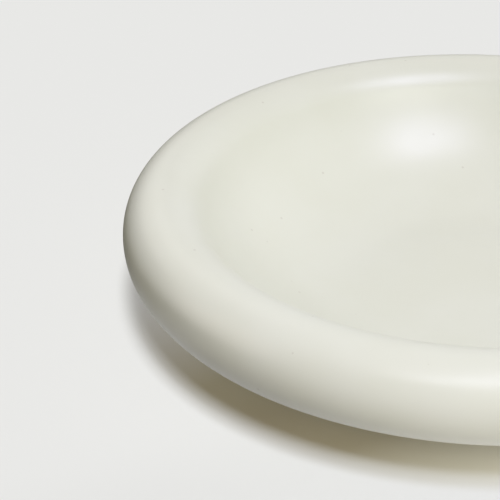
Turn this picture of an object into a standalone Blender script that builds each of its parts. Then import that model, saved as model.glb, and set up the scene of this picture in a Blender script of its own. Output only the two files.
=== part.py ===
"""Soup plate with a fat hollow rim: three luted clay parts, two fired glaze skins and a vent plug.

Metres, +Z up. The origin is on the table, under the centre of the plate. Every round piece is a section
in the XZ plane turned about Z. A section follows the finished surface of the plate, or a line at a set
depth below it, so clay and glaze stay parallel.
"""

from math import acos, atan2, ceil, cos, hypot, pi, radians, sin, sqrt

import bpy

# Finished plate, glaze included
OUTER_RADIUS = 0.120
TOTAL_HEIGHT = 0.043
ROLL_RADIUS = 0.0144
WELL_DEPTH = 0.0350
WALL = 0.0058
MEETING_SLOPE = radians(57.0)
UNDER_FILLET = 0.005

# Glaze and joints
GLAZE = 0.0007
GAP = 0.0003
ROLL_CLAY = 0.0034
LAP_LOW = radians(35.0)
LAP_HIGH = radians(39.5)

# Foot ring
FOOT_OUTER = 0.056
FOOT_INNER = 0.049
FOOT_BASE_INSET = 0.0014
FOOT_ROUND = 0.0008
FOOT_TOP = 0.0056

# Kiln vent under the rim, on the far side of the plate
VENT_RADIUS = 0.0020
VENT_ANGLE = radians(90.0)
PLUG_LENGTH = 0.0052
PLUG_DOME = 0.0006

# Mesh fineness
TURN_STEPS = 48
ROLL_STEP = radians(15.0)
WELL_STEP = radians(8.0)
VENT_SIDES = 16
MERGE = 0.00001
SMOOTH_ANGLE = radians(35.0)

# Depths below the finished surface
CLAY_DEPTH = GLAZE + GAP

# Centres of the arcs that make up the finished surface
ROLL_R = OUTER_RADIUS - ROLL_RADIUS
ROLL_Z = TOTAL_HEIGHT - ROLL_RADIUS
FLOOR_Z = TOTAL_HEIGHT - WELL_DEPTH
BASE_Z = FLOOR_Z - WALL
MEETING_R = ROLL_R - ROLL_RADIUS * sin(MEETING_SLOPE)
MEETING_Z = ROLL_Z + ROLL_RADIUS * cos(MEETING_SLOPE)
WELL_RADIUS = (MEETING_Z - FLOOR_Z) / (1.0 - cos(MEETING_SLOPE))
FLOOR_R = MEETING_R - WELL_RADIUS * sin(MEETING_SLOPE)
WELL_Z = FLOOR_Z + WELL_RADIUS


def fillet_centre():
    """Centre of the fillet that fills the crook between the roll and the underside of the dish."""
    from_roll = ROLL_RADIUS + UNDER_FILLET
    from_well = WELL_RADIUS + WALL + UNDER_FILLET
    span_r = ROLL_R - FLOOR_R
    span_z = ROLL_Z - WELL_Z
    span = hypot(span_r, span_z)
    turn = acos((from_well ** 2 + span ** 2 - from_roll ** 2) / (2.0 * from_well * span))
    angle = atan2(span_z, span_r) - turn
    return FLOOR_R + from_well * cos(angle), WELL_Z + from_well * sin(angle)


FILLET_R, FILLET_Z = fillet_centre()

# Angles where one arc hands over to the next. On the dish they are measured up from straight down,
# on the roll outwards from its crest.
UNDER_END = atan2(FILLET_R - FLOOR_R, WELL_Z - FILLET_Z)
ROLL_START = -MEETING_SLOPE
CREST = 0.0
WIDEST = pi / 2.0
ROLL_END = 2.0 * pi + atan2(FILLET_R - ROLL_R, FILLET_Z - ROLL_Z)


def arc(centre_r, centre_z, radius, start, end, step):
    """Points of an arc; an angle is measured from +Z towards +X."""
    count = max(1, ceil(abs(end - start) / step))
    angles = [start + (end - start) * i / count for i in range(count + 1)]
    return [(centre_r + radius * sin(a), centre_z + radius * cos(a)) for a in angles]


def dish_point(radius, angle):
    """A point seen from the centre of the well's arc, at an angle up from straight down."""
    return FLOOR_R + radius * sin(angle), WELL_Z - radius * cos(angle)


def well_line(depth, start, end):
    """The well's curved side, at a depth below its surface, between two angles up from straight down."""
    return arc(FLOOR_R, WELL_Z, WELL_RADIUS + depth, pi - start, pi - end, WELL_STEP)


def under_line(depth, start, end):
    """The underside of the dish, at a depth below its surface, between two angles up from straight down."""
    return arc(FLOOR_R, WELL_Z, WELL_RADIUS + WALL - depth, pi - start, pi - end, WELL_STEP)


def roll_line(depth):
    """The roll from the well, over the crest and round to the fillet, at a depth below its surface."""
    line = []
    for start, end in ((ROLL_START, CREST), (CREST, WIDEST), (WIDEST, ROLL_END)):
        line += arc(ROLL_R, ROLL_Z, ROLL_RADIUS - depth, start, end, ROLL_STEP)
    to_roll = atan2(ROLL_R - FILLET_R, ROLL_Z - FILLET_Z)
    line += arc(FILLET_R, FILLET_Z, UNDER_FILLET + depth, to_roll, -UNDER_END, ROLL_STEP)
    return line


def under_angle(depth, radius):
    """Angle at which the underside, at a depth below its surface, is a radius away from the axis."""
    reach = (radius - FLOOR_R) / (WELL_RADIUS + WALL - depth)
    return atan2(reach, sqrt(1.0 - reach * reach))


def drop_repeats(points):
    """The points of a section without those that lie on the one before."""
    kept = [points[0]]
    for point in points[1:]:
        if hypot(point[0] - kept[-1][0], point[1] - kept[-1][1]) > MERGE:
            kept.append(point)
    return kept


def new_collection(name):
    """An empty collection in the scene."""
    collection = bpy.data.collections.new(name)
    bpy.context.scene.collection.children.link(collection)
    return collection


def finish(name, colour, roughness):
    """A Principled material."""
    material = bpy.data.materials.new(name)
    material.use_nodes = True
    shader = material.node_tree.nodes["Principled BSDF"]
    shader.inputs["Base Color"].default_value = (*colour, 1.0)
    shader.inputs["Roughness"].default_value = roughness
    shader.inputs["Metallic"].default_value = 0.0
    return material


def turned(name, section, closed, material, collection, steps=TURN_STEPS):
    """A section turned about Z with a Screw modifier."""
    points = drop_repeats(section)
    edges = [(i, i + 1) for i in range(len(points) - 1)]
    if closed:
        edges.append((len(points) - 1, 0))
    mesh = bpy.data.meshes.new(name)
    mesh.from_pydata([(r, 0.0, z) for r, z in points], edges, [])
    mesh.materials.append(material)
    piece = bpy.data.objects.new(name, mesh)
    collection.objects.link(piece)
    screw = piece.modifiers.new("turn", "SCREW")
    screw.axis = "Z"
    screw.angle = 2.0 * pi
    screw.steps = steps
    screw.render_steps = steps
    screw.use_merge_vertices = True
    screw.merge_threshold = MERGE
    screw.use_smooth_shade = True
    return piece


def made_plain(piece):
    """Turn a piece's modifiers into plain mesh, smooth except at true edges."""
    graph = bpy.context.evaluated_depsgraph_get()
    mesh = bpy.data.meshes.new_from_object(piece.evaluated_get(graph))
    piece.modifiers.clear()
    piece.data = mesh
    mesh.shade_smooth()
    mesh.set_sharp_from_angle(angle=SMOOTH_ANGLE)


def as_cutter(cutter, collection):
    """Show an object as a wire cutter, in the cutters' collection."""
    for owner in list(cutter.users_collection):
        owner.objects.unlink(cutter)
    collection.objects.link(cutter)
    cutter.hide_render = True
    cutter.display_type = "WIRE"
    return cutter


def cut(piece, cutter):
    """Take a cutter's volume out of a piece."""
    boolean = piece.modifiers.new("cut_" + cutter.name, "BOOLEAN")
    boolean.operation = "DIFFERENCE"
    boolean.solver = "EXACT"
    boolean.object = cutter


def make_well_dish(clay, collection):
    """Floor and wall of the well, with a groove for the foot and a half lap for the rim's neck."""
    middle = WELL_RADIUS + WALL / 2.0 - GAP / 2.0
    under = CLAY_DEPTH
    groove_z = FOOT_TOP + GAP
    groove_out = FOOT_OUTER + GAP
    groove_in = FOOT_INNER - GAP
    outside = under_line(under, LAP_LOW, under_angle(under, groove_out))
    inside = under_line(under, under_angle(under, groove_in), 0.0)
    section = [(0.0, FLOOR_Z - CLAY_DEPTH)]
    section += well_line(CLAY_DEPTH, 0.0, LAP_HIGH)
    section += [dish_point(middle, LAP_HIGH), dish_point(middle, LAP_LOW)]
    section += outside + [(groove_out, groove_z), (groove_in, groove_z)] + inside
    section += [(0.0, BASE_Z + under)]
    return turned("well_dish", section, False, clay, collection)


def make_rim_ring(clay, collection, cutters):
    """Hollow roll with a neck that laps under the wall of the dish."""
    middle = WELL_RADIUS + WALL / 2.0 + GAP / 2.0
    clear = GAP / WELL_RADIUS
    section = well_line(CLAY_DEPTH, LAP_HIGH + clear, MEETING_SLOPE)
    section += roll_line(CLAY_DEPTH)
    section += under_line(CLAY_DEPTH, UNDER_END, LAP_LOW + clear)
    section += [dish_point(middle, LAP_LOW + clear), dish_point(middle, LAP_HIGH + clear)]
    ring = turned("rim_ring", section, True, clay, collection)
    bpy.ops.mesh.primitive_torus_add(
        location=(0.0, 0.0, ROLL_Z),
        major_radius=ROLL_R,
        minor_radius=ROLL_RADIUS - CLAY_DEPTH - ROLL_CLAY,
        major_segments=TURN_STEPS,
        minor_segments=VENT_SIDES,
    )
    hollow = bpy.context.object
    hollow.name = "rim_hollow"
    cut(ring, as_cutter(hollow, cutters))
    return ring


def make_glaze_coat(glaze, collection):
    """One skin from the middle of the well, over the rim and down the outside to the foot."""
    def surface(depth):
        stop = under_angle(depth, FOOT_OUTER + GAP)
        line = [(0.0, FLOOR_Z - depth)]
        line += well_line(depth, 0.0, MEETING_SLOPE)
        line += roll_line(depth)
        line += under_line(depth, UNDER_END, stop)
        return line

    return turned("glaze_coat", surface(0.0) + surface(GLAZE)[::-1], False, glaze, collection)


def make_base_glaze(glaze, collection):
    """The round of glaze inside the foot ring."""
    edge = FOOT_INNER - GAP

    def surface(depth):
        return under_line(depth, under_angle(depth, edge), 0.0) + [(0.0, BASE_Z + depth)]

    section = surface(GLAZE)[::-1] + surface(0.0)
    return turned("base_glaze", section, False, glaze, collection)


def make_foot_ring(clay, collection):
    """Tapered ring with rounded edges where it meets the table."""
    low_out = FOOT_OUTER - FOOT_BASE_INSET
    low_in = FOOT_INNER + FOOT_BASE_INSET
    quarter = pi / 2.0
    outer_edge = arc(low_out - FOOT_ROUND, FOOT_ROUND, FOOT_ROUND, quarter, pi, quarter / 2.0)
    inner_edge = arc(low_in + FOOT_ROUND, FOOT_ROUND, FOOT_ROUND, pi, pi + quarter, quarter / 2.0)
    section = [(FOOT_INNER, FOOT_TOP), (FOOT_OUTER, FOOT_TOP), (FOOT_OUTER, BASE_Z)]
    section += outer_edge + inner_edge + [(FOOT_INNER, BASE_Z)]
    return turned("foot_ring", section, True, clay, collection)


def place_at_vent(thing, z):
    """Put a thing on the vent's axis, at a height."""
    thing.location = (ROLL_R * cos(VENT_ANGLE), ROLL_R * sin(VENT_ANGLE), z)


def make_vent(cutters):
    """Cutter for the round hole through the underside of the roll."""
    depth = ROLL_RADIUS
    bpy.ops.mesh.primitive_cylinder_add(vertices=VENT_SIDES, radius=VENT_RADIUS, depth=depth)
    vent = bpy.context.object
    vent.name = "kiln_vent"
    place_at_vent(vent, ROLL_Z - ROLL_RADIUS)
    return as_cutter(vent, cutters)


def make_vent_plug(rubber, collection):
    """Soft plug, flush with the glaze and a little domed below."""
    radius = VENT_RADIUS - GAP
    section = [(0.0, PLUG_LENGTH), (radius, PLUG_LENGTH), (radius, PLUG_DOME)]
    section += [(radius / 2.0, PLUG_DOME / 4.0), (0.0, 0.0)]
    plug = turned("vent_plug", section, False, rubber, collection, VENT_SIDES)
    place_at_vent(plug, ROLL_Z - ROLL_RADIUS)
    return plug


def main():
    """Build the plate."""
    for leftover in list(bpy.data.objects):
        bpy.data.objects.remove(leftover)
    plate = new_collection("soup_plate")
    cutters = new_collection("cutters")
    clay = finish("bare_clay", (0.62, 0.53, 0.42), 0.9)
    glaze = finish("cream_glaze", (0.80, 0.79, 0.70), 0.35)
    rubber = finish("pale_silicone", (0.70, 0.68, 0.62), 0.6)

    dish = make_well_dish(clay, plate)
    ring = make_rim_ring(clay, plate, cutters)
    foot = make_foot_ring(clay, plate)
    coat = make_glaze_coat(glaze, plate)
    base = make_base_glaze(glaze, plate)
    plug = make_vent_plug(rubber, plate)
    vent = make_vent(cutters)
    cut(ring, vent)
    cut(coat, vent)
    for piece in (dish, ring, foot, coat, base, plug):
        made_plain(piece)


main()
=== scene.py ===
"""Looks of a soup plate with a fat rolled rim.

A satin cream glaze, a bare clay foot and a plugged kiln vent, on a pale table in soft light.
"""

import logging
import math
from dataclasses import dataclass
from enum import Enum

import bmesh
import bpy
from mathutils import Matrix, Vector


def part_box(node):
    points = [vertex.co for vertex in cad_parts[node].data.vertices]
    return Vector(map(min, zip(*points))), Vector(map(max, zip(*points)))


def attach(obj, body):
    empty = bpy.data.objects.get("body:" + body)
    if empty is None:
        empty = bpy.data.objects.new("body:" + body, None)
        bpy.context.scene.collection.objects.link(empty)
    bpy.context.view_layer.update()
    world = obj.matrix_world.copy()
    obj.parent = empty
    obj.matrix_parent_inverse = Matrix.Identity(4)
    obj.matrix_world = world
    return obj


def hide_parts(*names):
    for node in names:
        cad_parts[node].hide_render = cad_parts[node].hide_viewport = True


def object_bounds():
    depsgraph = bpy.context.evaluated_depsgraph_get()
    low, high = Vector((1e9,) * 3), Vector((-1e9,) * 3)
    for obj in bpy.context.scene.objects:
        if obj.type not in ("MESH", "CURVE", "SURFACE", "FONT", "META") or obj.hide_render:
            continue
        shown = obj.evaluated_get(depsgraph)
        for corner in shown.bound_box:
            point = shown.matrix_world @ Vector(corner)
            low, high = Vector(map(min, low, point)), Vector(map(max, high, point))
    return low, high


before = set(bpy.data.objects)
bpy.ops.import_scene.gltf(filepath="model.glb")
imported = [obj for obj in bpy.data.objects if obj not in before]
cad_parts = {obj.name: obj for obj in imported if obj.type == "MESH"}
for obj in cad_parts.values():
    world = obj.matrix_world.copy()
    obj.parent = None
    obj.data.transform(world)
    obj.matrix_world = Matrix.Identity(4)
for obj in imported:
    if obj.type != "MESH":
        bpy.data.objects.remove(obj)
CAD_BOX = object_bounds()

LOG = logging.getLogger("soup_plate")
BODY = "root"
MERGE = 0.000001
SHARP_ANGLE = math.radians(40.0)
GLAZE_THICKNESS = 0.0007

# Soft noise mostly stays between these two values.
NOISE_LOW = 0.3
NOISE_HIGH = 0.7

Point = tuple[float, float]
Colour = tuple[float, float, float]
Stop = tuple[float, Colour]
Socket = bpy.types.NodeSocket

WHITE: Colour = (1.0, 1.0, 1.0)
COOL: Colour = (1.02, 1.00, 1.42)
PALE_BLUE: Colour = (0.98, 1.00, 1.20)
WARM: Colour = (1.02, 1.00, 0.94)
AMBER: Colour = (1.14, 1.00, 0.88)


class Slot(Enum):
    """Material slots of the record."""

    CLAY = "clay"
    GLAZE = "glaze"
    SILICONE = "silicone"


class Side(Enum):
    """Which face of the dish a line follows."""

    WELL = "well"
    UNDER = "under"


class Target(Enum):
    """What a lamp lights."""

    PLATE = "plate"
    TABLE = "table"


class NodeGraph:
    """Short ways to add and join nodes in a tree."""

    def __init__(self, tree: bpy.types.NodeTree) -> None:
        """Keep the tree that the nodes go into."""
        self.tree = tree

    def add(
        self, kind: str, inputs: dict[str | int, object] | None = None, **settings: object
    ) -> bpy.types.Node:
        """Add a node.

        Args:
            kind: Blender's name of the node's type.
            inputs: Values, or sockets to join, by the name or number of the input.
            settings: Properties of the node itself.

        Returns:
            The new node.
        """
        node = self.tree.nodes.new(kind)
        for key, value in settings.items():
            setattr(node, key, value)
        for key, value in (inputs or {}).items():
            self.feed(node.inputs[key], value)
        return node

    def feed(self, socket: Socket, value: object) -> None:
        """Join a socket to an input, or set the input's value.

        Args:
            socket: The input.
            value: A socket to join, or a value to set.
        """
        if isinstance(value, Socket):
            self.tree.links.new(value, socket)
        else:
            socket.default_value = value

    def maths(self, operation: str, *terms: object) -> Socket:
        """Add a Math node.

        Args:
            operation: The node's operation, such as MULTIPLY.
            terms: Numbers or sockets, in the order of the node's inputs.

        Returns:
            The node's result.
        """
        node = self.add("ShaderNodeMath", operation=operation)
        for socket, term in zip(node.inputs, terms):
            self.feed(socket, term)
        return node.outputs[0]

    def fade(self, value: object, start: float, end: float, low: float, high: float) -> Socket:
        """Map a value smoothly from one range to another.

        Args:
            value: The socket to map.
            start: Where the change begins.
            end: Where the change ends.
            low: The result at start.
            high: The result at end.

        Returns:
            The mapped value.
        """
        node = self.add("ShaderNodeMapRange", interpolation_type="SMOOTHSTEP")
        numbers = {"From Min": start, "From Max": end, "To Min": low, "To Max": high}
        for name, number in numbers.items():
            node.inputs[name].default_value = number
        self.feed(node.inputs["Value"], value)
        return node.outputs["Result"]

    def blend(self, factor: Socket, first: Socket, second: Socket) -> Socket:
        """Blend two shaders.

        Args:
            factor: Share of the second shader.
            first: A shader.
            second: A shader.

        Returns:
            The blended shader.
        """
        node = self.add("ShaderNodeMixShader", {0: factor, 1: first, 2: second})
        return node.outputs["Shader"]

    def ray(self, kind: str) -> Socket:
        """Whether the ray is of a kind, which Light Path names."""
        return self.add("ShaderNodeLightPath").outputs[kind]

    def shown(self, mirrored: object) -> Socket:
        """Whether a surface shows itself, and not what it is to the light.

        Args:
            mirrored: How far it shows in the glaze, from 0 to 1.

        Returns:
            1 for the camera, straight or through glass, and that share for the glaze.
        """
        direct = self.maths("MAXIMUM", self.ray("Is Camera Ray"), self.ray("Is Transmission Ray"))
        glossy = self.maths("MULTIPLY", self.ray("Is Glossy Ray"), mirrored)
        return self.maths("MAXIMUM", direct, glossy)


class SurfaceGraph(NodeGraph):
    """Nodes of a material, with its Principled shader and Object coordinates at hand."""

    # Share of a dot's radius where its edge begins to fade.
    DOT_CORE = 0.55

    # Where the Mix node keeps its sockets for colours, after those for numbers and vectors.
    MIX_COLOURS = slice(6, 8)
    MIX_RESULT = 2

    def __init__(self, name: str) -> None:
        """Start a material.

        Args:
            name: Name of the material.
        """
        self.material = bpy.data.materials.new(name)
        self.material.use_nodes = True
        super().__init__(self.material.node_tree)
        self.shader = self.tree.nodes["Principled BSDF"]
        self.place = self.add("ShaderNodeTexCoord").outputs["Object"]

    def dress(self, values: dict[str, object]) -> None:
        """Set or join inputs of the Principled shader, by their names."""
        for name, value in values.items():
            self.feed(self.shader.inputs[name], value)

    def noise(self, size: float, detail: float = 2.0, roughness: float = 0.5) -> Socket:
        """Soft noise from 0 to 1.

        Args:
            size: Size of its blotches, in metres.
            detail: Number of finer layers.
            roughness: Weight of the finer layers.

        Returns:
            The noise value.
        """
        values = {"Scale": 1.0 / size, "Detail": detail, "Roughness": roughness}
        return self.add("ShaderNodeTexNoise", {"Vector": self.place, **values}).outputs["Fac"]

    def spread(self, noise: Socket, low: float, high: float) -> Socket:
        """Stretch soft noise so that it fills a range."""
        return self.fade(noise, NOISE_LOW, NOISE_HIGH, low, high)

    def dots(self, spacing: float, radius: float) -> Socket:
        """Scattered round dots, 1 inside a dot and 0 outside.

        Args:
            spacing: Mean distance between the balls that the surface cuts into dots, in metres.
            radius: Radius of the largest dot, in metres.

        Returns:
            The dots' mask.
        """
        values = {"Vector": self.place, "Scale": 1.0 / spacing}
        cells = self.add("ShaderNodeTexVoronoi", values, feature="F1")
        share = radius / spacing
        return self.fade(cells.outputs["Distance"], self.DOT_CORE * share, share, 1.0, 0.0)

    def mix(self, factor: object, first: object, second: object) -> Socket:
        """Mix two colours.

        Args:
            factor: Share of the second colour.
            first: A colour or a socket.
            second: A colour or a socket.

        Returns:
            The mixed colour.
        """
        node = self.add("ShaderNodeMix", {0: factor}, data_type="RGBA")
        for socket, colour in zip(node.inputs[self.MIX_COLOURS], (first, second)):
            self.feed(socket, colour if isinstance(colour, Socket) else (*colour, 1.0))
        return node.outputs[self.MIX_RESULT]

    def ramp(self, value: Socket, stops: tuple[Stop, ...]) -> Socket:
        """Colours in a row along a value.

        Args:
            value: The socket that the colours follow.
            stops: Each colour, with the value where it stands.

        Returns:
            The colour.
        """
        first, last = stops[0][0], stops[-1][0]
        share = self.maths("DIVIDE", self.maths("SUBTRACT", value, first), last - first)
        node = self.add("ShaderNodeValToRGB", {"Fac": share})
        colours = node.color_ramp.elements
        colours.remove(colours[1])
        colours[0].color = (*stops[0][1], 1.0)
        for place, colour in stops[1:]:
            colours.new((place - first) / (last - first)).color = (*colour, 1.0)
        return node.outputs["Color"]

    def vectors(self, operation: str, first: object, second: object) -> Socket:
        """Add, subtract or multiply two colours or vectors, channel by channel.

        Args:
            operation: The node's operation, such as MULTIPLY.
            first: A colour, a vector or a socket.
            second: A colour, a vector or a socket.

        Returns:
            The node's result.
        """
        node = self.add("ShaderNodeVectorMath", {0: first, 1: second}, operation=operation)
        return node.outputs["Vector"]

    def radius(self) -> Socket:
        """Distance from the middle."""
        node = self.add("ShaderNodeVectorMath", {0: self.place}, operation="LENGTH")
        return node.outputs["Value"]

    def reach(self, bearing: float) -> Socket:
        """Distance from the middle along a bearing.

        Args:
            bearing: Degrees from +X, towards the back.

        Returns:
            The distance, negative on the far side of the middle.
        """
        angle = math.radians(bearing)
        terms = {0: self.place, 1: (math.cos(angle), math.sin(angle), 0.0)}
        node = self.add("ShaderNodeVectorMath", terms, operation="DOT_PRODUCT")
        return node.outputs["Value"]

    def bump(self, height: Socket, depth: float, under: Socket | None = None) -> Socket:
        """Raise the surface a little.

        Args:
            height: Height from 0 to 1.
            depth: Height of 1, in metres.
            under: Normal of a coarser bump below this one.

        Returns:
            The new normal.
        """
        node = self.add("ShaderNodeBump", {"Strength": 1.0, "Distance": depth, "Height": height})
        if under is not None:
            self.feed(node.inputs["Normal"], under)
        return node.outputs["Normal"]


@dataclass(frozen=True)
class GlazeFinish:
    """Satin cream glaze: softly clouded, faintly uneven, with a few pale brown specks."""

    name: str = "satin_cream_glaze"
    cream: Colour = (0.712, 0.724, 0.606)
    pale: Colour = (0.732, 0.745, 0.636)
    speck: Colour = (0.330, 0.270, 0.190)
    cloud_size: float = 0.045
    cloud_detail: float = 3.0
    speck_spacing: float = 0.0100
    speck_radius: float = 0.00060
    speck_strength: float = 0.22
    dust_spacing: float = 0.0024
    dust_radius: float = 0.00016
    dust_strength: float = 0.10
    ior: float = 1.58
    roughness_low: float = 0.285
    roughness_high: float = 0.330
    roughness_size: float = 0.018
    wave_size: float = 0.012
    wave_detail: float = 1.0
    wave_depth: float = 0.00003
    grain_size: float = 0.0007
    grain_depth: float = 0.000006

    def build(self) -> bpy.types.Material:
        """Make the material.

        Returns:
            The glaze.
        """
        graph = SurfaceGraph(self.name)
        clouds = graph.spread(graph.noise(self.cloud_size, self.cloud_detail), 0.0, 1.0)
        colour = graph.mix(clouds, self.cream, self.pale)
        dust = graph.dots(self.dust_spacing, self.dust_radius)
        colour = graph.mix(graph.maths("MULTIPLY", dust, self.dust_strength), colour, self.speck)
        specks = graph.dots(self.speck_spacing, self.speck_radius)
        colour = graph.mix(graph.maths("MULTIPLY", specks, self.speck_strength), colour, self.speck)
        sheen = graph.noise(self.roughness_size)
        rough = graph.spread(sheen, self.roughness_low, self.roughness_high)
        waves = graph.bump(graph.noise(self.wave_size, self.wave_detail), self.wave_depth)
        grain = graph.bump(graph.noise(self.grain_size), self.grain_depth, waves)
        graph.dress({"Base Color": colour, "Roughness": rough, "IOR": self.ior, "Normal": grain})
        return graph.material


@dataclass(frozen=True)
class ClayFinish:
    """Bare fired stoneware: warm buff, matt and gritty, with toasted blotches."""

    name: str = "bare_buff_clay"
    buff: Colour = (0.520, 0.410, 0.290)
    toasted: Colour = (0.430, 0.320, 0.210)
    grit: Colour = (0.200, 0.140, 0.090)
    blotch_size: float = 0.014
    blotch_detail: float = 4.0
    blotch_start: float = 0.35
    blotch_end: float = 0.65
    grit_spacing: float = 0.0020
    grit_radius: float = 0.00022
    grain_size: float = 0.0006
    grain_detail: float = 3.0
    grain_weight: float = 0.6
    grain_depth: float = 0.00008
    roughness_low: float = 0.80
    roughness_high: float = 0.95

    def build(self) -> bpy.types.Material:
        """Make the material.

        Returns:
            The clay.
        """
        graph = SurfaceGraph(self.name)
        patches = graph.noise(self.blotch_size, self.blotch_detail)
        blotches = graph.fade(patches, self.blotch_start, self.blotch_end, 0.0, 1.0)
        colour = graph.mix(blotches, self.buff, self.toasted)
        colour = graph.mix(graph.dots(self.grit_spacing, self.grit_radius), colour, self.grit)
        grain = graph.noise(self.grain_size, self.grain_detail, self.grain_weight)
        rough = graph.spread(grain, self.roughness_low, self.roughness_high)
        raised = graph.bump(grain, self.grain_depth)
        graph.dress({"Base Color": colour, "Roughness": rough, "Normal": raised})
        return graph.material


@dataclass(frozen=True)
class SiliconeFinish:
    """Pale matt silicone, a little cloudy."""

    name: str = "pale_silicone"
    pale: Colour = (0.660, 0.640, 0.580)
    milky: Colour = (0.720, 0.700, 0.650)
    cloud_size: float = 0.0012
    roughness_low: float = 0.50
    roughness_high: float = 0.65
    grain_depth: float = 0.00001

    def build(self) -> bpy.types.Material:
        """Make the material.

        Returns:
            The silicone.
        """
        graph = SurfaceGraph(self.name)
        clouds = graph.noise(self.cloud_size)
        colour = graph.mix(clouds, self.pale, self.milky)
        rough = graph.spread(clouds, self.roughness_low, self.roughness_high)
        raised = graph.bump(clouds, self.grain_depth)
        graph.dress({"Base Color": colour, "Roughness": rough, "Normal": raised})
        return graph.material


class Lathe:
    """A Geometry Nodes tree that turns a section about Z and leaves the wall a little uneven."""

    def __init__(self) -> None:
        """Build the tree once, for every piece."""
        self.tree = bpy.data.node_groups.new("turn_section", "GeometryNodeTree")
        self.sockets: dict[str, str] = {}
        self._name_sockets()
        self._join_nodes()

    def _name_sockets(self) -> None:
        """Name the tree's inputs and its output."""
        face = self.tree.interface
        face.new_socket("Section", in_out="INPUT", socket_type="NodeSocketGeometry")
        kinds = {
            "Turn Steps": "NodeSocketInt",
            "Unevenness": "NodeSocketFloat",
            "Unevenness Size": "NodeSocketFloat",
            "Seed": "NodeSocketFloat",
            "Finish": "NodeSocketMaterial",
        }
        for name, kind in kinds.items():
            socket = face.new_socket(name, in_out="INPUT", socket_type=kind)
            self.sockets[name] = socket.identifier
        face.new_socket("Piece", in_out="OUTPUT", socket_type="NodeSocketGeometry")

    def _join_nodes(self) -> None:
        """Turn the section, press its wall a little uneven, and dress it."""
        graph = NodeGraph(self.tree)
        given = graph.add("NodeGroupInput").outputs
        place = graph.add("GeometryNodeInputPosition").outputs["Position"]
        turned = self._turned(graph, given["Section"], given["Turn Steps"], place)

        frequency = graph.maths("DIVIDE", 1.0, given["Unevenness Size"])
        values = {"Vector": place, "Scale": frequency, "W": given["Seed"]}
        noise = graph.add("ShaderNodeTexNoise", values, noise_dimensions="4D")
        depth = graph.maths("MULTIPLY", noise.outputs["Fac"], given["Unevenness"])
        normal = graph.add("GeometryNodeInputNormal").outputs["Normal"]
        inwards = graph.add("ShaderNodeVectorMath", {0: normal}, operation="SCALE")
        graph.feed(inwards.inputs["Scale"], graph.maths("MULTIPLY", depth, -1.0))
        pressed = graph.add("GeometryNodeSetPosition", {"Offset": inwards.outputs["Vector"]})
        graph.feed(pressed.inputs["Geometry"], turned)

        real = graph.add("GeometryNodeRealizeInstances", {"Geometry": pressed.outputs["Geometry"]})
        dressed = graph.add("GeometryNodeSetMaterial", {"Material": given["Finish"]})
        graph.feed(dressed.inputs["Geometry"], real.outputs["Geometry"])
        result = graph.add("NodeGroupOutput")
        graph.feed(result.inputs["Piece"], dressed.outputs["Geometry"])

    def _turned(self, graph: NodeGraph, section: Socket, steps: Socket, place: Socket) -> Socket:
        """Lay a grid of steps by section points, wrap it round Z, and close its seam and poles.

        Args:
            graph: The tree's nodes.
            section: The section's points, as a mesh.
            steps: Steps of a full turn.
            place: Position of a point.

        Returns:
            The turned mesh, with its faces outwards.
        """
        size = graph.add("GeometryNodeAttributeDomainSize", {"Geometry": section}, component="MESH")
        rows = size.outputs["Point Count"]
        columns = graph.maths("ADD", steps, 1.0)
        sheet = {"Size X": 1.0, "Size Y": 1.0, "Vertices X": columns, "Vertices Y": rows}
        grid = graph.add("GeometryNodeMeshGrid", sheet).outputs["Mesh"]

        # The grid reaches from -0.5 to 0.5: X becomes the angle and Y the number of the point.
        across = graph.add("ShaderNodeSeparateXYZ", {"Vector": place}).outputs
        angle = graph.maths("MULTIPLY", graph.maths("ADD", across["X"], 0.5), math.tau)
        last_row = graph.maths("SUBTRACT", rows, 1.0)
        row = graph.maths("MULTIPLY", graph.maths("ADD", across["Y"], 0.5), last_row)
        number = graph.add("FunctionNodeFloatToInt", {"Float": row}, rounding_mode="ROUND")
        sample = graph.add("GeometryNodeSampleIndex", data_type="FLOAT_VECTOR", domain="POINT")
        graph.feed(sample.inputs["Geometry"], section)
        graph.feed(sample.inputs["Value"], place)
        graph.feed(sample.inputs["Index"], number.outputs["Integer"])

        turned = graph.add("ShaderNodeVectorRotate", {"Angle": angle}, rotation_type="Z_AXIS")
        graph.feed(turned.inputs["Vector"], sample.outputs["Value"])
        placed = {"Geometry": grid, "Position": turned.outputs["Vector"]}
        wrapped = graph.add("GeometryNodeSetPosition", placed)
        joined = graph.add("GeometryNodeMergeByDistance", {"Distance": MERGE})
        graph.feed(joined.inputs["Geometry"], wrapped.outputs["Geometry"])
        outward = graph.add("GeometryNodeFlipFaces", {"Mesh": joined.outputs["Geometry"]})
        return outward.outputs["Mesh"]

    def turn(
        self,
        name: str,
        section: list[Point],
        finish: bpy.types.Material,
        steps: int,
        unevenness: float = 0.0,
        unevenness_size: float = 0.03,
        seed: float = 0.0,
    ) -> bpy.types.Object:
        """Turn a section into a plain, closed mesh.

        Args:
            name: Name of the piece.
            section: Points of the section, round a closed line or from axis to axis.
            finish: Material of the piece.
            steps: Steps of a full turn.
            unevenness: How deep the wall may dip, in metres.
            unevenness_size: Size of the dips, in metres.
            seed: Place in the noise.

        Returns:
            The piece, at the origin.
        """
        line = bpy.data.meshes.new(name)
        edges = [(i, i + 1) for i in range(len(section) - 1)]
        line.from_pydata([(r, 0.0, z) for r, z in section], edges, [])
        piece = bpy.data.objects.new(name, line)
        bpy.context.scene.collection.objects.link(piece)
        modifier = piece.modifiers.new("turn", "NODES")
        modifier.node_group = self.tree
        values = {
            "Turn Steps": steps,
            "Unevenness": unevenness,
            "Unevenness Size": unevenness_size,
            "Seed": seed,
            "Finish": finish,
        }
        for key, value in values.items():
            modifier[self.sockets[key]] = value
        make_plain(piece)
        return piece


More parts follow.
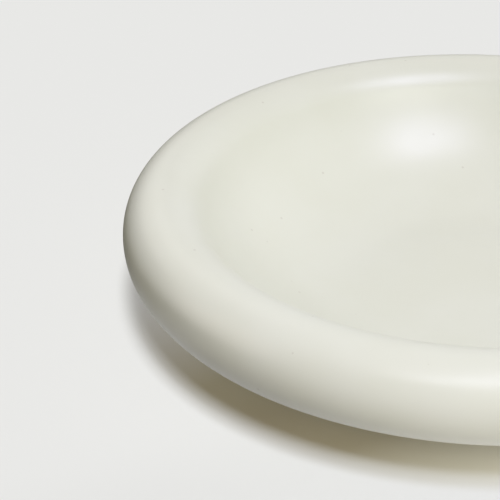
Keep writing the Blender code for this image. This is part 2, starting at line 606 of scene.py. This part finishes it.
def make_plain(piece: bpy.types.Object) -> None:
    """Turn a piece's modifiers into plain mesh, with outward faces and smooth shading.

    Args:
        piece: The piece, which keeps no modifier.
    """
    graph = bpy.context.evaluated_depsgraph_get()
    mesh = bpy.data.meshes.new_from_object(piece.evaluated_get(graph))
    piece.modifiers.clear()
    piece.data = mesh
    cleaner = bmesh.new()
    cleaner.from_mesh(mesh)
    bmesh.ops.recalc_face_normals(cleaner, faces=cleaner.faces)
    cleaner.to_mesh(mesh)
    cleaner.free()
    mesh.shade_smooth()
    mesh.set_sharp_from_angle(angle=SHARP_ANGLE)


def arc(centre: Point, radius: float, start: float, end: float, step: float) -> list[Point]:
    """Points of an arc.

    Args:
        centre: Centre of the arc.
        radius: Radius of the arc.
        start: First angle, from straight up towards the outside.
        end: Last angle.
        step: Largest angle between two points.

    Returns:
        The points, both ends included.
    """
    count = max(1, math.ceil(abs(end - start) / step))
    angles = [start + (end - start) * i / count for i in range(count + 1)]
    return [(centre[0] + radius * math.sin(a), centre[1] + radius * math.cos(a)) for a in angles]


def straight(start: Point, end: Point, count: int) -> list[Point]:
    """Points along a straight line.

    Args:
        start: First point.
        end: Last point.
        count: Number of equal stretches.

    Returns:
        The points, both ends included.
    """
    across, up = end[0] - start[0], end[1] - start[1]
    shares = [i / count for i in range(count + 1)]
    return [(start[0] + across * share, start[1] + up * share) for share in shares]


def without_repeats(points: list[Point]) -> list[Point]:
    """Leave out the points of a section that lie on the one before.

    Args:
        points: Points of the section.

    Returns:
        The points that are kept.
    """
    kept = [points[0]]
    for point in points[1:]:
        if math.dist(point, kept[-1]) > MERGE:
            kept.append(point)
    return kept


@dataclass(frozen=True)
class PlateSection:
    """The finished surface of the plate, cut through its axis, in metres."""

    outer_radius: float
    height: float
    roll_radius: float = 0.0144
    well_depth: float = 0.0350
    wall: float = 0.0058
    meeting_slope: float = math.radians(57.0)
    under_fillet: float = 0.005

    @property
    def roll_centre(self) -> Point:
        """Centre of the roll."""
        return self.outer_radius - self.roll_radius, self.height - self.roll_radius

    @property
    def floor_z(self) -> float:
        """Height of the well's floor."""
        return self.height - self.well_depth

    @property
    def base_z(self) -> float:
        """Height of the underside of the floor."""
        return self.floor_z - self.wall

    @property
    def well_radius(self) -> float:
        """Radius of the well's curved side."""
        meeting_z = self.roll_centre[1] + self.roll_radius * math.cos(self.meeting_slope)
        return (meeting_z - self.floor_z) / (1.0 - math.cos(self.meeting_slope))

    @property
    def well_centre(self) -> Point:
        """Centre of the well's curved side."""
        reach = (self.roll_radius + self.well_radius) * math.sin(self.meeting_slope)
        return self.roll_centre[0] - reach, self.floor_z + self.well_radius

    @property
    def fillet_centre(self) -> Point:
        """Centre of the fillet in the crook under the roll, which touches the roll and the dish.

        Returns:
            The point at the right distance from both of their centres.
        """
        from_roll = self.roll_radius + self.under_fillet
        from_well = self.well_radius + self.wall + self.under_fillet
        span = math.dist(self.roll_centre, self.well_centre)
        cosine = (from_well ** 2 + span ** 2 - from_roll ** 2) / (2.0 * from_well * span)
        across = self.roll_centre[0] - self.well_centre[0]
        down = self.roll_centre[1] - self.well_centre[1]
        angle = math.atan2(down, across) - math.acos(cosine)
        centre = self.well_centre
        return centre[0] + from_well * math.cos(angle), centre[1] + from_well * math.sin(angle)

    @property
    def under_end(self) -> float:
        """Angle, up from straight down, where the underside of the dish meets the fillet."""
        fillet, centre = self.fillet_centre, self.well_centre
        return math.atan2(fillet[0] - centre[0], centre[1] - fillet[1])

    def dish_line(
        self, side: Side, depth: float, start: float, end: float, step: float
    ) -> list[Point]:
        """A line along the dish.

        Args:
            side: Face of the dish.
            depth: Depth below that face.
            start: First angle, up from straight down.
            end: Last angle.
            step: Largest angle between two points.

        Returns:
            Points of the line.
        """
        radius = self.well_radius + (depth if side is Side.WELL else self.wall - depth)
        return arc(self.well_centre, radius, math.pi - start, math.pi - end, step)

    def under_angle(self, depth: float, radius: float) -> float:
        """Angle at which the underside, at a depth below its face, is a radius from the axis."""
        return math.asin((radius - self.well_centre[0]) / (self.well_radius + self.wall - depth))

    def roll_line(self, depth: float, step: float) -> list[Point]:
        """A line over the roll and through the fillet.

        Args:
            depth: Depth below the surface.
            step: Largest angle between two points.

        Returns:
            Points of the line, from the well to the underside of the dish.
        """
        roll, fillet = self.roll_centre, self.fillet_centre
        to_fillet = math.tau + math.atan2(fillet[0] - roll[0], fillet[1] - roll[1])
        to_roll = math.atan2(roll[0] - fillet[0], roll[1] - fillet[1])
        quarter = math.pi / 2.0
        line = []
        for start, end in ((-self.meeting_slope, 0.0), (0.0, quarter), (quarter, to_fillet)):
            line += arc(roll, self.roll_radius - depth, start, end, step)
        line += arc(fillet, self.under_fillet + depth, to_roll, -self.under_end, step)
        return line


@dataclass
class GlazedPlate:
    """The glaze over the well, the rim and the outside, down to the foot."""

    section: PlateSection
    foot_radius: float
    thickness: float
    clearance: float = 0.0003
    fine_step: float = math.radians(2.5)
    hidden_step: float = math.radians(9.0)
    floor_rings: int = 14
    turn_steps: int = 240
    unevenness: float = 0.00012
    unevenness_size: float = 0.045
    seed: float = 3.0

    def line(self, depth: float, step: float) -> list[Point]:
        """The coat's outer or inner face, from the middle of the well to the foot.

        Args:
            depth: Depth below the surface.
            step: Largest angle between two points.

        Returns:
            Points of the line.
        """
        plate = self.section
        stop = plate.under_angle(depth, self.foot_radius + self.clearance)
        edge = (plate.well_centre[0], plate.floor_z - depth)
        points = straight((0.0, plate.floor_z - depth), edge, self.floor_rings)
        points += plate.dish_line(Side.WELL, depth, 0.0, plate.meeting_slope, step)
        points += plate.roll_line(depth, step)
        points += plate.dish_line(Side.UNDER, depth, plate.under_end, stop, step)
        return points

    def build(self, lathe: Lathe, finish: bpy.types.Material) -> bpy.types.Object:
        """Turn the coat.

        Args:
            lathe: The tree that turns it.
            finish: Its material.

        Returns:
            The coat.
        """
        outer = self.line(0.0, self.fine_step)
        inner = self.line(self.thickness, self.hidden_step)
        return lathe.turn(
            "satin_glaze_coat",
            without_repeats(outer + inner[::-1]),
            finish,
            self.turn_steps,
            self.unevenness,
            self.unevenness_size,
            self.seed,
        )


@dataclass
class PlateFoot:
    """The bare clay ring that the plate stands on, and the round of glaze inside it."""

    section: PlateSection
    outer_radius: float
    inner_radius: float
    top: float
    glaze: float
    base_inset: float = 0.0014
    edge_round: float = 0.0008
    clearance: float = 0.0003
    step: float = math.radians(4.0)
    edge_step: float = math.radians(15.0)
    base_rings: int = 12
    turn_steps: int = 192
    unevenness: float = 0.00006
    unevenness_size: float = 0.012
    seed: float = 11.0

    def build_ring(self, lathe: Lathe, finish: bpy.types.Material) -> bpy.types.Object:
        """Turn the ring.

        Args:
            lathe: The tree that turns it.
            finish: Its material.

        Returns:
            The ring.
        """
        low_out = (self.outer_radius - self.base_inset - self.edge_round, self.edge_round)
        low_in = (self.inner_radius + self.base_inset + self.edge_round, self.edge_round)
        quarter = math.pi / 2.0
        shoulder = self.section.base_z
        start = (self.inner_radius, self.top)
        points = [start, (self.outer_radius, self.top), (self.outer_radius, shoulder)]
        points += arc(low_out, self.edge_round, quarter, 2.0 * quarter, self.edge_step)
        points += arc(low_in, self.edge_round, 2.0 * quarter, 3.0 * quarter, self.edge_step)
        points += [(self.inner_radius, shoulder), start]
        return lathe.turn("bare_clay_foot", without_repeats(points), finish, self.turn_steps)

    def face(self, depth: float) -> list[Point]:
        """The glazed underside inside the foot.

        Args:
            depth: Depth below its face.

        Returns:
            Points of the line, from the foot to the axis.
        """
        plate = self.section
        edge = plate.under_angle(depth, self.inner_radius - self.clearance)
        curve = plate.dish_line(Side.UNDER, depth, edge, 0.0, self.step)
        return curve + straight(curve[-1], (0.0, plate.base_z + depth), self.base_rings)

    def build_base(self, lathe: Lathe, finish: bpy.types.Material) -> bpy.types.Object:
        """Turn the round of glaze.

        Args:
            lathe: The tree that turns it.
            finish: Its material.

        Returns:
            The round.
        """
        return lathe.turn(
            "base_glaze_round",
            without_repeats(self.face(self.glaze)[::-1] + self.face(0.0)),
            finish,
            self.turn_steps,
            self.unevenness,
            self.unevenness_size,
            self.seed,
        )


@dataclass
class KilnVent:
    """The small vent under the rim and the plug that closes it."""

    place: Vector
    plug_radius: float
    plug_length: float
    clearance: float = 0.0003
    drill_lengths: float = 4.0
    dome: float = 0.0006
    # Points of the domed face, as shares of its radius and of the dome's height.
    dome_steps: tuple[Point, ...] = ((0.66, 0.45), (0.33, 0.10), (0.0, 0.0))
    edge_round: float = 0.0004
    edge_step: float = math.radians(15.0)
    sides: int = 48

    def open_in(self, piece: bpy.types.Object) -> None:
        """Cut the hole out of a piece.

        Args:
            piece: The piece, which becomes a plain mesh with the hole.
        """
        bpy.ops.mesh.primitive_cylinder_add(
            vertices=self.sides,
            radius=self.plug_radius + self.clearance,
            depth=self.drill_lengths * self.plug_length,
            location=self.place,
        )
        drill = bpy.context.object
        boolean = piece.modifiers.new("vent", "BOOLEAN")
        boolean.operation = "DIFFERENCE"
        boolean.solver = "EXACT"
        boolean.object = drill
        make_plain(piece)
        bpy.data.objects.remove(drill)

    def build_plug(self, lathe: Lathe, finish: bpy.types.Material) -> bpy.types.Object:
        """Turn the plug and set it in the vent.

        Args:
            lathe: The tree that turns it.
            finish: Its material.

        Returns:
            The plug.
        """
        side = self.plug_radius - self.edge_round
        shoulder = (side, self.dome + self.edge_round)
        points = [(0.0, self.plug_length), (self.plug_radius, self.plug_length)]
        points += arc(shoulder, self.edge_round, math.pi / 2.0, math.pi, self.edge_step)
        points += [(side * across, self.dome * up) for across, up in self.dome_steps]
        plug = lathe.turn("silicone_vent_plug", points, finish, self.sides)
        plug.data.transform(Matrix.Translation(self.place))
        return plug


@dataclass(frozen=True)
class Viewpoint:
    """Where the camera stands, seen from the middle of the rim, in metres along its own view."""

    elevation: float = math.radians(28.5)
    distance: float = 0.8268
    middle_right: float = 0.0780
    middle_up: float = 0.0072
    lens: float = 180.0
    sensor: float = 36.0

    def build(self, middle: Vector) -> bpy.types.Object:
        """Set up the scene's camera.

        Args:
            middle: Middle of the rim.

        Returns:
            The camera.
        """
        data = bpy.data.cameras.new("camera")
        data.lens = self.lens
        data.sensor_width = self.sensor
        camera = bpy.data.objects.new("camera", data)
        bpy.context.scene.collection.objects.link(camera)
        sine, cosine = math.sin(self.elevation), math.cos(self.elevation)
        forward = Vector((0.0, cosine, -sine))
        upward = Vector((0.0, sine, cosine))
        rightward = Vector((1.0, 0.0, 0.0))
        shift = forward * self.distance + rightward * self.middle_right + upward * self.middle_up
        camera.location = middle - shift
        camera.rotation_euler = (math.pi / 2.0 - self.elevation, 0.0, 0.0)
        bpy.context.scene.camera = camera
        return camera


@dataclass(frozen=True, kw_only=True)
class Lamp:
    """A lamp over the table.

    Its lean is counted from straight above, and its bearing from +X towards the back, in degrees.
    Its share is the light that it gives a level face.
    """

    name: str
    lean: float
    bearing: float
    share: float
    colour: Colour = WHITE

    @property
    def source(self) -> Vector:
        """Direction towards the lamp."""
        lean, bearing = math.radians(self.lean), math.radians(self.bearing)
        across = math.sin(lean)
        return Vector((across * math.cos(bearing), across * math.sin(bearing), math.cos(lean)))

    def make(self) -> bpy.types.Object:
        """Make the lamp."""
        raise NotImplementedError

    def place(self, data: bpy.types.Light) -> bpy.types.Object:
        """Turn a lamp to the plate, with its width level along X.

        Args:
            data: The light.

        Returns:
            The lamp, at the origin.
        """
        data.color = self.colour
        lamp = bpy.data.objects.new(self.name, data)
        lamp.visible_camera = False
        bpy.context.scene.collection.objects.link(lamp)
        back = self.source
        level = (Vector((1.0, 0.0, 0.0)) - back * back.x).normalized()
        axes = Matrix((level, back.cross(level), back)).transposed()
        lamp.rotation_mode = "QUATERNION"
        lamp.rotation_quaternion = axes.to_quaternion()
        return lamp

    def hang(self, floor: bpy.types.Object, target: Target) -> bpy.types.Object:
        """Hang the lamp.

        Args:
            floor: The table, which only the lamps for the table light.
            target: What the lamp lights.

        Returns:
            The lamp.
        """
        lamp = self.make()
        lit = bpy.data.collections.new("lit_by_" + self.name)
        lit.objects.link(floor)
        state = "INCLUDE" if target is Target.TABLE else "EXCLUDE"
        lit.collection_objects[0].light_linking.link_state = state
        lamp.light_linking.receiver_collection = lit
        return lamp


@dataclass(frozen=True, kw_only=True)
class FarLamp(Lamp):
    """A round lamp far away, which fills a cone of the sky, as wide as its width in degrees."""

    width: float = 40.0

    def make(self) -> bpy.types.Object:
        """Make the lamp.

        Returns:
            The lamp, which lights a level face with its share.
        """
        data = bpy.data.lights.new(self.name, "SUN")
        data.energy = math.pi * self.share / self.source.z
        data.angle = math.radians(self.width)
        return self.place(data)


@dataclass(frozen=True, kw_only=True)
class SoftBox(Lamp):
    """An oval soft box at a distance from the point that it faces, in metres."""

    faces: tuple[float, float, float] = (0.0, 0.0, 0.0)
    distance: float = 2.5
    width: float = 1.0
    height: float = 0.5

    def make(self) -> bpy.types.Object:
        """Make the lamp.

        Returns:
            The lamp, which lights a level face at that point with its share.
        """
        data = bpy.data.lights.new(self.name, "AREA")
        data.shape = "ELLIPSE"
        data.size = self.width
        data.size_y = self.height
        data.energy = math.pi ** 2 * self.share * self.distance ** 2 / self.source.z
        lamp = self.place(data)
        lamp.location = Vector(self.faces) + self.source * self.distance
        return lamp


@dataclass(frozen=True, kw_only=True)
class Stretch:
    """A stretch of the table, in metres along a bearing, over which something sets in."""

    bearing: float
    start: float
    end: float
    strength: float

    def build(self, graph: SurfaceGraph) -> Socket:
        """The strength at each place, 0 before the stretch."""
        return graph.fade(graph.reach(self.bearing), self.start, self.end, 0.0, self.strength)


@dataclass(frozen=True, kw_only=True)
class Disc:
    """A disc in the middle of the table, at whose edge something fades, with radii in metres."""

    inner: float
    outer: float
    strength: float

    def build(self, graph: SurfaceGraph) -> Socket:
        """The strength at each place, 0 outside the disc."""
        return graph.fade(graph.radius(), self.inner, self.outer, self.strength, 0.0)


@dataclass(frozen=True)
class Studio:
    """A pale table, the soft lamps over it, and dim surroundings."""

    floor_radius: float = 6.0
    floor_sides: int = 96
    dim_light: float = 0.02
    backdrop: Colour = (0.807, 0.807, 0.791)

    # Painted light in the shadow: the table glows with these colours along a bearing, and with less
    # of them deeper under the rim, which paints the shade there.
    shade_bearing: float = -60.0
    painted_shadow_fill: tuple[Stop, ...] = (
        (-0.060, (0.339, 0.333, 0.315)),
        (0.000, (0.174, 0.148, 0.089)),
        (0.025, (0.166, 0.135, 0.074)),
        (0.053, (0.212, 0.175, 0.098)),
        (0.090, (0.513, 0.479, 0.352)),
    )
    painted_fill_under_rim: tuple[Stop, ...] = (
        (0.086, (0.600, 0.600, 0.600)),
        (0.097, (0.882, 0.882, 0.882)),
        (0.105, (1.000, 1.000, 1.000)),
    )

    # Light that the plate throws onto the table, which the table's colour makes up for, painted
    # darker by the same amount.
    thrown: Stretch = Stretch(bearing=-60.0, start=0.010, end=0.060, strength=0.036)
    thrown_near: Disc = Disc(inner=0.17, outer=0.30, strength=1.0)

    # Light that the table throws back onto the plate, and where the glaze mirrors the table.
    bounce: Colour = (0.905, 0.860, 0.870)
    bounces: tuple[Stretch, ...] = (
        Stretch(bearing=-60.0, start=0.06, end=0.16, strength=0.57),
        Stretch(bearing=-90.0, start=0.08, end=0.20, strength=0.72),
    )
    mirrors: tuple[Stretch, ...] = (
        Stretch(bearing=-60.0, start=-0.12, end=-0.02, strength=1.0),
        Stretch(bearing=-60.0, start=-0.18, end=-0.25, strength=0.4),
    )

    # Painted light under the plate: a glowing ring that only reflections in the glaze see, a
    # painted glint under the rim, and a glowing disc that only diffuse light sees, which lights the
    # underside.
    glint: Disc = Disc(inner=0.108, outer=0.120, strength=0.36)
    underlight: Disc = Disc(inner=0.060, outer=0.084, strength=0.55)

    plate_lamps: tuple[Lamp, ...] = (
        SoftBox(
            name="key", lean=21.0, bearing=-37.0, share=0.201, colour=COOL, width=0.88, height=1.34
        ),
        SoftBox(
            name="near_card",
            lean=26.7,
            bearing=-96.3,
            share=0.178,
            colour=PALE_BLUE,
            faces=(-0.004, -0.1146, 0.0393),
            distance=0.27,
            width=0.21,
            height=0.11,
        ),
        FarLamp(
            name="overhead_back", lean=20.0, bearing=90.0, share=0.214, colour=WARM, width=120.0
        ),
        FarLamp(
            name="overhead_right", lean=30.0, bearing=0.0, share=0.190, colour=WARM, width=120.0
        ),
        FarLamp(name="front_fill", lean=64.0, bearing=-60.0, share=0.137, colour=WARM),
        FarLamp(name="left_fill", lean=72.0, bearing=180.0, share=0.032, colour=AMBER),
        FarLamp(name="left_back_fill", lean=55.0, bearing=165.0, share=0.032, colour=WARM),
        FarLamp(name="back_fill", lean=60.0, bearing=120.0, share=0.037, colour=WARM),
    )
    table_lamps: tuple[Lamp, ...] = (
        FarLamp(name="table_key_high", lean=19.0, bearing=-89.5, share=0.49, width=14.0),
        FarLamp(name="table_key_low", lean=33.0, bearing=-91.0, share=0.49, width=14.0),
    )

    def _paint(self, graph: SurfaceGraph) -> Socket:
        """Paint the table as it shows: pale, with a shadow lightened by a painted glow of its own.

        Args:
            graph: Nodes of the table's material.

        Returns:
            The shader.
        """
        # Painted light: the table's glow that lightens the shadow, weaker deeper under the rim.
        painted_fill_colour = graph.ramp(graph.reach(self.shade_bearing), self.painted_shadow_fill)
        kept = graph.vectors("MULTIPLY", painted_fill_colour, graph.ramp(graph.radius(), self.painted_fill_under_rim))
        thrown = graph.maths("MULTIPLY", self.thrown.build(graph), self.thrown_near.build(graph))
        # Painted shade: the table's colour is darkened by the glow and by the thrown light, so the
        # lit table stays even.
        own = graph.vectors("ADD", kept, thrown)
        values = {
            "Base Color": graph.vectors("SUBTRACT", self.backdrop, own),
            "Emission Color": kept,
            "Emission Strength": 1.0,
            "Roughness": 1.0,
            "Specular IOR Level": 0.0,
        }
        graph.dress(values)
        return graph.shader.outputs["BSDF"]

    def _throw_back(self, graph: SurfaceGraph) -> Socket:
        """Make the table that lights the plate, which throws light back only in front.

        Args:
            graph: Nodes of the table's material.

        Returns:
            The shader.
        """
        front = graph.maths("ADD", *(stretch.build(graph) for stretch in self.bounces))
        scaled = {0: self.bounce, "Scale": front}
        bounced = graph.add("ShaderNodeVectorMath", scaled, operation="SCALE").outputs["Vector"]
        return graph.add("ShaderNodeBsdfDiffuse", {"Color": bounced}).outputs["BSDF"]

    def _light_below(self, graph: SurfaceGraph) -> Socket:
        """Make the painted light under the plate: a glowing table that only the plate sees, as a
        painted glint in the glaze and a glow on the underside.

        Args:
            graph: Nodes of the table's material.

        Returns:
            The shader.
        """
        glint = graph.maths("MULTIPLY", self.glint.build(graph), graph.ray("Is Glossy Ray"))
        soft = graph.maths("MULTIPLY", self.underlight.build(graph), graph.ray("Is Diffuse Ray"))
        strength = graph.maths("ADD", glint, soft)
        return graph.add("ShaderNodeEmission", {"Strength": strength}).outputs["Emission"]

    def build_floor(self) -> bpy.types.Object:
        """Lay the table, which is clear when seen from below.

        Returns:
            The table.
        """
        bpy.ops.mesh.primitive_circle_add(
            vertices=self.floor_sides, radius=self.floor_radius, fill_type="NGON"
        )
        floor = bpy.context.object
        floor.name = "studio_floor"
        graph = SurfaceGraph("studio_floor")
        mirror = graph.maths("MAXIMUM", *(stretch.build(graph) for stretch in self.mirrors))
        above = graph.blend(graph.shown(mirror), self._throw_back(graph), self._paint(graph))
        below = graph.add("ShaderNodeNewGeometry").outputs["Backfacing"]
        clear = graph.add("ShaderNodeBsdfTransparent").outputs["BSDF"]
        seen = graph.blend(below, above, clear)
        both = graph.add("ShaderNodeAddShader", {0: seen, 1: self._light_below(graph)})
        output = graph.tree.nodes["Material Output"]
        graph.feed(output.inputs["Surface"], both.outputs["Shader"])
        floor.data.materials.append(graph.material)
        return floor

    def build_lamps(self, floor: bpy.types.Object) -> None:
        """Hang the lamps over the plate and the table.

        Args:
            floor: The table.
        """
        for lamp in self.plate_lamps:
            lamp.hang(floor, Target.PLATE)
        for lamp in self.table_lamps:
            lamp.hang(floor, Target.TABLE)

    def build_world(self) -> bpy.types.World:
        """Make dim light from all round, behind a backdrop as pale as the table.

        Returns:
            The world.
        """
        world = bpy.data.worlds.new("studio")
        bpy.context.scene.world = world
        world.use_nodes = True
        graph = NodeGraph(world.node_tree)
        seen = world.node_tree.nodes["Background"]
        seen.inputs["Color"].default_value = (*self.backdrop, 1.0)
        seen.inputs["Strength"].default_value = 1.0
        light = {"Color": (*WHITE, 1.0), "Strength": self.dim_light}
        dim = graph.add("ShaderNodeBackground", light)
        both = graph.blend(graph.shown(1.0), dim.outputs[0], seen.outputs[0])
        output = world.node_tree.nodes["World Output"]
        graph.feed(output.inputs["Surface"], both)
        return world


def hand_over(piece: bpy.types.Object, slot: Slot, *nodes: str) -> None:
    """Let a piece ride on the plate and stand for CAD nodes.

    Args:
        piece: The finished piece.
        slot: The record's slot for the piece; not used.
        nodes: The CAD nodes that it stands for.
    """
    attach(piece, BODY)
    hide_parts(*nodes)
    faces = len(piece.data.polygons)
    LOG.info("%s stands for %s, %d faces", piece.name, ", ".join(nodes), faces)


def redress(node: str, finish: bpy.types.Material) -> None:
    """Give a CAD node that stays a better material.

    Args:
        node: Name of the node.
        finish: Its new material.
    """
    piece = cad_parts[node]
    piece.data.materials.clear()
    piece.data.materials.append(finish)
    LOG.info("%s keeps its shape, dressed in %s", node, finish.name)


def main() -> None:
    """Build the plate's pieces, then the studio and the camera."""
    logging.basicConfig(level=logging.INFO, format="%(name)s: %(message)s")
    lowest, highest = CAD_BOX
    foot_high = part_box("foot_ring")[1]
    base_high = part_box("base_glaze")[1]
    plug_low, plug_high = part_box("vent_plug")
    section = PlateSection(outer_radius=highest.x, height=highest.z - lowest.z)

    glaze = GlazeFinish().build()
    clay = ClayFinish().build()
    silicone = SiliconeFinish().build()
    lathe = Lathe()

    plug_middle = (plug_low + plug_high) / 2.0
    vent = KilnVent(
        place=Vector((plug_middle.x, plug_middle.y, plug_low.z)),
        plug_radius=(plug_high.x - plug_low.x) / 2.0,
        plug_length=plug_high.z - plug_low.z,
    )
    coat = GlazedPlate(section, foot_high.x, GLAZE_THICKNESS).build(lathe, glaze)
    vent.open_in(coat)
    hand_over(coat, Slot.GLAZE, "glaze_coat")

    inner_radius = base_high.x + PlateFoot.clearance
    foot = PlateFoot(section, foot_high.x, inner_radius, foot_high.z, GLAZE_THICKNESS)
    hand_over(foot.build_ring(lathe, clay), Slot.CLAY, "foot_ring")
    hand_over(foot.build_base(lathe, glaze), Slot.GLAZE, "base_glaze")
    hand_over(vent.build_plug(lathe, silicone), Slot.SILICONE, "vent_plug")
    redress("well_dish", clay)
    redress("rim_ring", clay)

    studio = Studio()
    studio.build_lamps(studio.build_floor())
    studio.build_world()
    Viewpoint().build(Vector((0.0, 0.0, section.roll_centre[1])))
    bpy.context.scene.view_settings.view_transform = "Standard"


if __name__ == "__main__":
    main()
